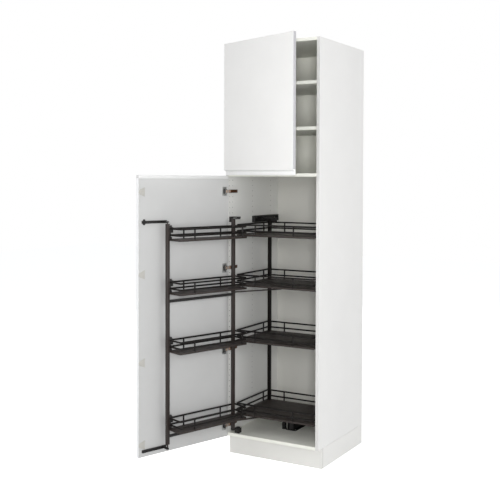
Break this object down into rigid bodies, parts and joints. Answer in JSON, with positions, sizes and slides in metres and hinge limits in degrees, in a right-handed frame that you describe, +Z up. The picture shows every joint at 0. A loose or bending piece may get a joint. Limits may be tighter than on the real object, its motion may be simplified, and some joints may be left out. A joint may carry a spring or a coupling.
{
  "type": "pull-out pantry cabinet",
  "caption": "Tall kitchen pantry cabinet with two hinged doors, shelves above and wire baskets below that swing and slide out as the lower door opens.",
  "frame": {"origin": "on the floor, at the middle of the front plinth board's underside", "axes": "+Z up, -Y out of the front towards the user, +X to the right seen from the front"},
  "size_m": [0.8054, 1.1751, 2.4003],
  "materials": {
    "white_board": "satin white coated board",
    "plinth_board": "satin white coated board",
    "white_strip": "satin",
    "dark_coat": "satin dark brown powder coat",
    "black_coat": "matte black powder coat",
    "bronze_coat": "satin bronze",
    "hinge_steel": "satin nickel plate",
    "screw_steel": "zinc plate",
    "black_plastic": "matte",
    "beige_cover": "matte"
  },
  "bodies": {
    "cabinet": {"left_side_panel": "white_board", "right_side_panel": "white_board", "bottom_panel": "white_board", "middle_panel": "white_board", "top_panel": "white_board", "lower_back_panel": "white_board", "upper_back_panel": "white_board", "lower_shelf": "white_board", "upper_shelf": "white_board", "shelf_pins": "screw_steel", "leg_sockets": "black_plastic", "leg_feet": "black_plastic", "plinth_front": "plinth_board", "plinth_left": "plinth_board", "plinth_right": "plinth_board", "plinth_clips": "black_plastic", "wall_plates": "screw_steel", "hinge_plates": "bronze_coat", "hinge_arms": "bronze_coat", "hinge_screws": "screw_steel", "slide_rail": "black_coat", "top_pivot_bracket": "black_coat", "bottom_pivot_bracket": "black_coat", "floor_runner": "black_coat", "fitting_screws": "screw_steel"},
    "upper_door": {"upper_door_panel": "white_board", "upper_door_grip": "white_strip", "upper_hinge_cups": "hinge_steel", "upper_bore_covers": "beige_cover"},
    "upper_hinge_link_set": {"upper_hinge_links": "bronze_coat"},
    "lower_door": {"lower_door_panel": "white_board", "lower_door_strip": "white_strip", "lower_hinge_cups": "hinge_steel", "lower_bore_covers": "beige_cover", "upper_guide_rail": "dark_coat", "lower_guide_rail": "dark_coat"},
    "lower_hinge_link_set": {"lower_hinge_links": "bronze_coat"},
    "door_sliders": {"upper_slider": "black_plastic", "lower_slider": "black_plastic"},
    "front_frame": {"front_post_a": "dark_coat", "front_post_b": "dark_coat", "middle_crossbar": "dark_coat", "bottom_crossbar": "dark_coat", "top_swing_arm": "black_coat", "bottom_swing_arm": "black_coat", "front_basket_1": "dark_coat", "front_basket_2": "dark_coat", "front_basket_3": "dark_coat", "front_basket_4": "dark_coat"},
    "rear_frame": {"rear_post": "dark_coat", "top_carriage": "black_coat", "base_arm": "black_coat", "link_bracket": "black_coat", "rear_basket_1": "dark_coat", "rear_basket_2": "dark_coat", "rear_basket_3": "dark_coat", "rear_basket_4": "dark_coat"},
    "link_arms": {"upper_link": "dark_coat", "lower_link": "dark_coat"}
  },
  "joints": [
    {"name": "upper_door_hinge", "type": "hinge", "parent": "cabinet", "child": "upper_door", "pos_m": [-0.2948, -0.0697, 2.0193], "axis": [0, 0, 1], "range_deg": [-89.9, 20.1]},
    {"name": "upper_hinge_link_turn", "type": "hinge", "parent": "cabinet", "child": "upper_hinge_link_set", "pos_m": [-0.2788, -0.052, 2.0193], "axis": [0, 0, 1], "range_deg": [-89.9, 20.1]},
    {"name": "lower_door_hinge", "type": "hinge", "parent": "cabinet", "child": "lower_door", "pos_m": [-0.2948, -0.0697, 0.8763], "axis": [0, 0, 1], "range_deg": [0, 109.2]},
    {"name": "lower_hinge_link_turn", "type": "hinge", "parent": "cabinet", "child": "lower_hinge_link_set", "pos_m": [-0.2788, -0.052, 0.8637], "axis": [0, 0, 1], "range_deg": [0, 109.2]},
    {"name": "door_slider_travel", "type": "slide", "parent": "lower_door", "child": "door_sliders", "axis": [-0.3289, -0.9444, 0], "range_m": [0, 0.11861]},
    {"name": "front_frame_swing", "type": "hinge", "parent": "cabinet", "child": "front_frame", "pos_m": [-0.2348, -0.0285, 0.774], "axis": [0, 0, 1], "range_deg": [0, 109.2]},
    {"name": "rear_frame_travel", "type": "slide", "parent": "cabinet", "child": "rear_frame", "axis": [0, 1, 0], "range_m": [0, 0.13001]},
    {"name": "link_arm_turn", "type": "hinge", "parent": "front_frame", "child": "link_arms", "pos_m": [-0.222, -0.09755, 0.59], "axis": [0, 0, 1], "range_deg": [-98.73, 0]}
  ],
  "couplings": [
    {"joint": "upper_hinge_link_turn", "follows": "upper_door_hinge", "ratio": 1},
    {"joint": "lower_hinge_link_turn", "follows": "lower_door_hinge", "ratio": 1},
    {"joint": "door_slider_travel", "follows": "lower_door_hinge", "m_per_rad": 0.062228},
    {"joint": "front_frame_swing", "follows": "lower_door_hinge", "ratio": 1},
    {"joint": "rear_frame_travel", "follows": "lower_door_hinge", "m_per_rad": 0.068209},
    {"joint": "link_arm_turn", "follows": "lower_door_hinge", "ratio": -0.904}
  ]
}
